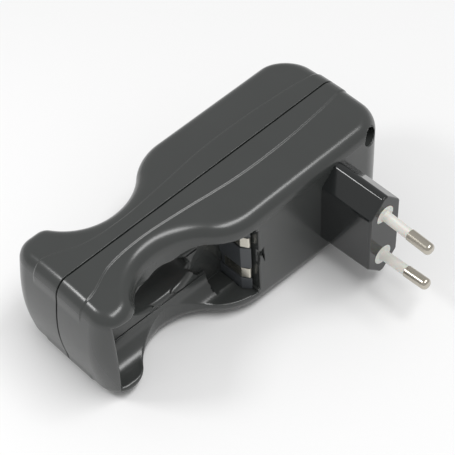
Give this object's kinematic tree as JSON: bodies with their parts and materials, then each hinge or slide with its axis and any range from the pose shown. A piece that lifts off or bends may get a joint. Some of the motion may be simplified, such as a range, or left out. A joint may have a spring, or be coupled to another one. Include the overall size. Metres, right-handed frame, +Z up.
{
  "type": "battery charger",
  "caption": "Mains plug-in charger with a waisted black body, open cell bays on two opposite faces and a flat two-pin plug block.",
  "frame": {"origin": "middle of the bounding box on the ground plane the charger lies on", "axes": "+X along the body towards the plug end, +Y away from the pins through the depth of the body, +Z up, from the side face it lies on"},
  "size_m": [0.1198, 0.0873, 0.0478],
  "materials": {
    "shell": "satin black ABS",
    "plug": "glossy black",
    "pin": "nickel plated brass",
    "sleeve": "white insulating sleeve",
    "holder": "satin grey",
    "contact": "nickel plated spring strip",
    "wire": "red insulated wire",
    "board": "green laminate",
    "ferrite": "ferrite",
    "bobbin": "moulded",
    "tape": "yellow insulating tape",
    "can": "sleeved can",
    "package": "moulded package",
    "resistor": "coated",
    "live": "brown insulated lead",
    "neutral": "blue insulated lead",
    "screw": "zinc plated"
  },
  "bodies": {
    "root": {"rear_shell": "shell", "front_shell": "shell", "plug_block": "plug", "pin_upper": "pin", "pin_lower": "pin", "sleeve_upper": "sleeve", "sleeve_lower": "sleeve", "rear_contact_holder": "holder", "front_contact_holder": "holder", "rear_plus_contact_upper": "contact", "rear_plus_contact_lower": "contact", "front_plus_contact_upper": "contact", "front_plus_contact_lower": "contact", "rear_end_contact_upper": "contact", "rear_end_contact_lower": "contact", "front_end_contact_upper": "contact", "front_end_contact_lower": "contact", "return_wire_upper": "wire", "return_wire_lower": "wire", "circuit_board": "board", "transformer_core": "ferrite", "transformer_bobbin": "bobbin", "transformer_winding": "tape", "filter_capacitor": "can", "smoothing_capacitor": "can", "rectifier_diodes": "package", "control_chip": "package", "switching_transistor": "package", "fuse_resistor": "resistor", "live_lead": "live", "neutral_lead": "neutral", "case_screw_upper": "screw", "case_screw_lower": "screw"}
  },
  "joints": []
}
